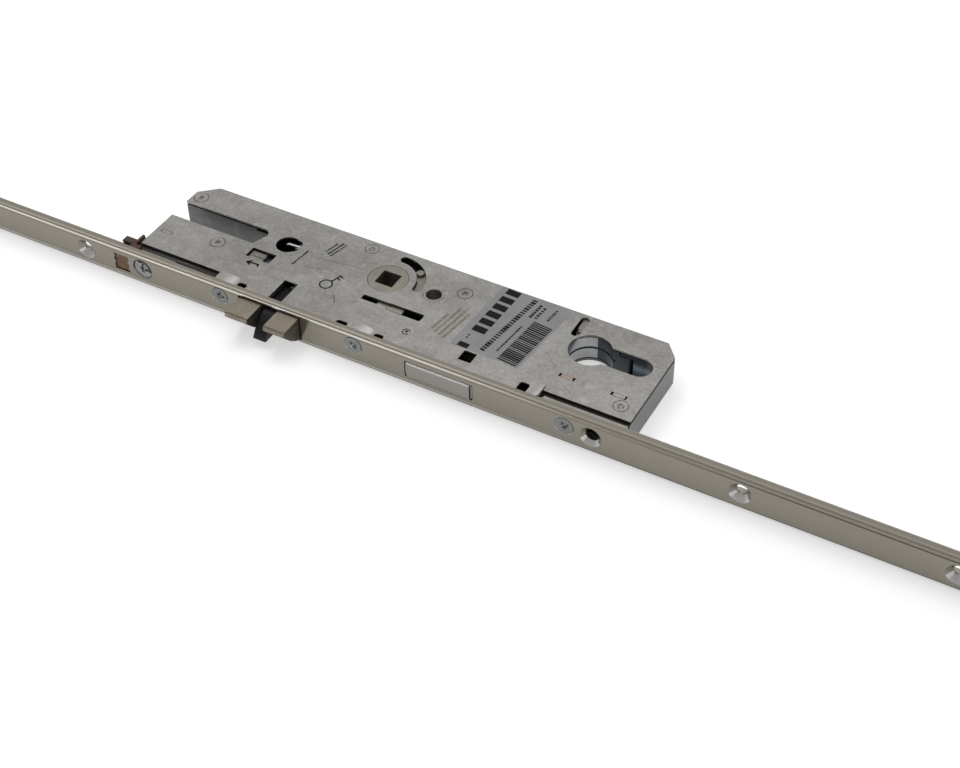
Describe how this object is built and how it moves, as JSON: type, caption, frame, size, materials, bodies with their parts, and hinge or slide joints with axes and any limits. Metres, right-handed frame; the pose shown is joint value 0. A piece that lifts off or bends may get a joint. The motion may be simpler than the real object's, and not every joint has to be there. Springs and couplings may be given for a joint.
{
  "type": "multipoint door lock",
  "caption": "Multipoint mortice door lock: long flat faceplate, latch, deadbolt and two swinging hooks driven by rods from one central case.",
  "frame": {"origin": "axis of the handle spindle, in the middle plane of the faceplate's width", "axes": "+X down the faceplate towards the cylinder and the lower hook, +Y from the faceplate into the door, +Z along the spindle towards the cover; the lock lies on its side, as in the picture"},
  "size_m": [1.347, 0.066, 0.016],
  "materials": {
    "faceplate": "satin nickel over steel strip",
    "case_steel": "zinc-plated steel sheet",
    "screw_steel": "bluish zinc plating",
    "latch_cast": "zinc die casting, yellowish",
    "spring_steel": "bright spring wire",
    "trigger_plastic": "dark navy, slight sheen",
    "follower_cast": "sintered or cast metal, beige",
    "bright_steel": "bright turned steel",
    "dark_steel": "dark steel",
    "bolt_steel": "nickel-plated steel, lightly ground",
    "rod_steel": "zinc-plated flat steel",
    "copper_steel": "coppery plated sheet",
    "clip_plastic": "red-brown moulded plastic"
  },
  "bodies": {
    "lock_body": {"faceplate": "faceplate", "case_tray": "case_steel", "case_cover": "case_steel", "cover_screws": "screw_steel", "cover_rivets": "case_steel", "latch_spring": "spring_steel", "trigger_spring": "spring_steel", "fixing_bush": "dark_steel", "rack_guide": "copper_steel", "cylinder_guide": "dark_steel", "gear_stop": "follower_cast", "snib_block": "dark_steel", "case_screws": "screw_steel", "coupling_screw": "screw_steel", "transport_clip": "clip_plastic", "upper_hook_case": "case_steel", "upper_hook_cover": "case_steel", "upper_hook_pin": "bright_steel", "lower_hook_case": "case_steel", "lower_hook_cover": "case_steel", "lower_hook_pin": "bright_steel", "hook_case_screws": "screw_steel"},
    "follower": {"follower": "follower_cast", "follower_pin": "bright_steel"},
    "latch": {"latch_bolt": "latch_cast"},
    "trigger": {"trigger": "trigger_plastic"},
    "drive": {"drive_slide": "case_steel", "slide_pin": "bright_steel", "upper_rod": "rod_steel", "lower_rod": "rod_steel", "upper_rack": "rod_steel", "lower_rack": "rod_steel"},
    "deadbolt": {"deadbolt": "bolt_steel"},
    "gear": {"cylinder_gear": "bright_steel"},
    "upper_hook": {"upper_hook": "bolt_steel"},
    "lower_hook": {"lower_hook": "bolt_steel"},
    "snib": {"snib_slider": "follower_cast"}
  },
  "joints": [
    {"name": "follower_turn", "type": "hinge", "parent": "lock_body", "child": "follower", "pos_m": [0, 0, 0], "axis": [0, 0, 1], "range_deg": [-43, 0]},
    {"name": "latch_slide", "type": "slide", "parent": "lock_body", "child": "latch", "axis": [0, 1, 0], "range_m": [0, 0.0117], "stiffness_N_per_m": 120, "springref_m": -0.006, "deforming": ["latch_spring"]},
    {"name": "trigger_slide", "type": "slide", "parent": "lock_body", "child": "trigger", "axis": [0, 1, 0], "range_m": [0, 0.01], "stiffness_N_per_m": 120, "springref_m": -0.005, "deforming": ["trigger_spring"]},
    {"name": "drive_slide", "type": "slide", "parent": "lock_body", "child": "drive", "axis": [1, 0, 0], "range_m": [0, 0.02]},
    {"name": "deadbolt_slide", "type": "slide", "parent": "lock_body", "child": "deadbolt", "axis": [0, -1, 0], "range_m": [0, 0.02]},
    {"name": "gear_turn", "type": "hinge", "parent": "lock_body", "child": "gear", "pos_m": [0.092, 0, 0], "axis": [0, 0, 1], "range_deg": [0, 76.5]},
    {"name": "upper_hook_turn", "type": "hinge", "parent": "lock_body", "child": "upper_hook", "pos_m": [-0.505, -0.01475, 0], "axis": [0, 0, 1], "range_deg": [0, 90]},
    {"name": "lower_hook_turn", "type": "hinge", "parent": "lock_body", "child": "lower_hook", "pos_m": [0.59, -0.01475, 0], "axis": [0, 0, 1], "range_deg": [0, 90]},
    {"name": "snib_slide", "type": "slide", "parent": "lock_body", "child": "snib", "axis": [1, 0, 0], "range_m": [0, 0.0026]}
  ],
  "couplings": [
    {"joint": "follower_turn", "follows": "latch_slide", "rad_per_m": -64.103},
    {"joint": "deadbolt_slide", "follows": "drive_slide", "ratio": 1},
    {"joint": "gear_turn", "follows": "drive_slide", "rad_per_m": 66.667},
    {"joint": "upper_hook_turn", "follows": "drive_slide", "rad_per_m": 78.431},
    {"joint": "lower_hook_turn", "follows": "drive_slide", "rad_per_m": 78.431}
  ]
}
